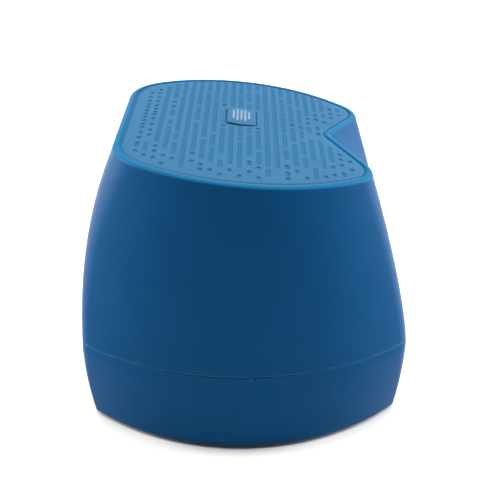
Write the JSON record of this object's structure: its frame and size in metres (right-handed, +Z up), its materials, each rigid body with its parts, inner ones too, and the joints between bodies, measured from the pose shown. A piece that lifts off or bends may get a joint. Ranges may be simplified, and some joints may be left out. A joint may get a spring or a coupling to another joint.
{
  "type": "portable loudspeaker",
  "caption": "Compact portable loudspeaker with a sloping slotted grille face, a V notch in the front edge, flared body, rear keys and a rear port panel.",
  "frame": {"origin": "centre of the bottom of the bounding box, on the plane the rubber feet stand on", "axes": "+Z up, +X towards the front edge with the V notch, -X is the back wall with keys and ports, Y across the body between the two curved flanks"},
  "size_m": [0.1159, 0.1054, 0.1037],
  "materials": {
    "case_blue": "fine soft-touch texture",
    "panel_blue": "fine soft-touch texture, lighter than the case",
    "grille_cloth": "fine woven acoustic cloth",
    "badge_white": "printed ink",
    "key_blue": "matte silicone",
    "black_plastic": "moulded, fine grain",
    "gasket_blue": "dark blue soft rubber",
    "black_rubber": "matte",
    "foam_black": "soft foam",
    "label_grey": "satin film",
    "zinc_steel": "zinc plated",
    "black_steel": "black e-coat",
    "cone_paper": "coated pulp",
    "spider_cloth": "woven, resin treated",
    "copper": "enamelled winding",
    "ferrite": "sintered",
    "cell_wrap": "shrink film",
    "lead_sleeve": "insulated wire",
    "header_cream": "moulded nylon",
    "board_green": "solder mask",
    "chip_black": "moulded package",
    "can_metal": "drawn can",
    "tin_shield": "tinned steel",
    "plunger_ivory": "moulded",
    "light_pipe": "frosted clear acrylic"
  },
  "bodies": {
    "case": {"upper_shell": "case_blue", "base_shell": "case_blue", "seam_gasket": "gasket_blue", "baffle_plate": "black_plastic", "rubber_feet": "black_rubber", "label_plate": "label_grey", "case_screws": "zinc_steel", "small_screws": "zinc_steel", "grille_panel": "panel_blue", "grille_cloth": "grille_cloth", "badge_plate": "panel_blue", "badge_mark": "badge_white", "driver_basket": "black_steel", "driver_gasket": "foam_black", "driver_surround": "black_rubber", "driver_spider": "spider_cloth", "driver_top_plate": "zinc_steel", "driver_magnet": "ferrite", "driver_yoke": "zinc_steel", "driver_terminals": "copper", "battery_cell": "cell_wrap", "battery_cradle": "black_plastic", "battery_leads": "lead_sleeve", "battery_header": "header_cream", "main_board": "board_green", "board_chips": "chip_black", "power_coils": "ferrite", "capacitors": "can_metal", "radio_module": "tin_shield", "speaker_leads": "lead_sleeve", "speaker_header": "header_cream", "switch_bodies": "black_plastic", "port_plate": "black_plastic", "charge_port": "tin_shield", "charge_tongue": "black_plastic", "audio_jack": "black_plastic", "slide_switch": "tin_shield", "light_guide": "light_pipe"},
    "cone": {"driver_cone": "cone_paper", "dust_cap": "cone_paper", "voice_coil": "copper"},
    "mode_key": {"key_mode": "key_blue", "plunger_mode": "plunger_ivory"},
    "minus_key": {"key_minus": "key_blue", "plunger_minus": "plunger_ivory"},
    "play_key": {"key_play": "key_blue", "plunger_play": "plunger_ivory"},
    "plus_key": {"key_plus": "key_blue", "plunger_plus": "plunger_ivory"},
    "power_slider": {"slide_knob": "plunger_ivory"}
  },
  "joints": [
    {"name": "cone_stroke", "type": "slide", "parent": "case", "child": "cone", "axis": [0, 0, 1], "range_m": [-0.0015, 0.0015], "stiffness_N_per_m": 1500, "deforming": ["driver_surround", "driver_spider"]},
    {"name": "mode_press", "type": "slide", "parent": "case", "child": "mode_key", "axis": [1, 0, 0], "range_m": [0, 0.0005], "stiffness_N_per_m": 600},
    {"name": "minus_press", "type": "slide", "parent": "case", "child": "minus_key", "axis": [1, 0, 0], "range_m": [0, 0.0005], "stiffness_N_per_m": 600},
    {"name": "play_press", "type": "slide", "parent": "case", "child": "play_key", "axis": [1, 0, 0], "range_m": [0, 0.0005], "stiffness_N_per_m": 600},
    {"name": "plus_press", "type": "slide", "parent": "case", "child": "plus_key", "axis": [1, 0, 0], "range_m": [0, 0.0005], "stiffness_N_per_m": 600},
    {"name": "power_slide", "type": "slide", "parent": "case", "child": "power_slider", "axis": [0, 1, 0], "range_m": [0, 0.002]}
  ]
}
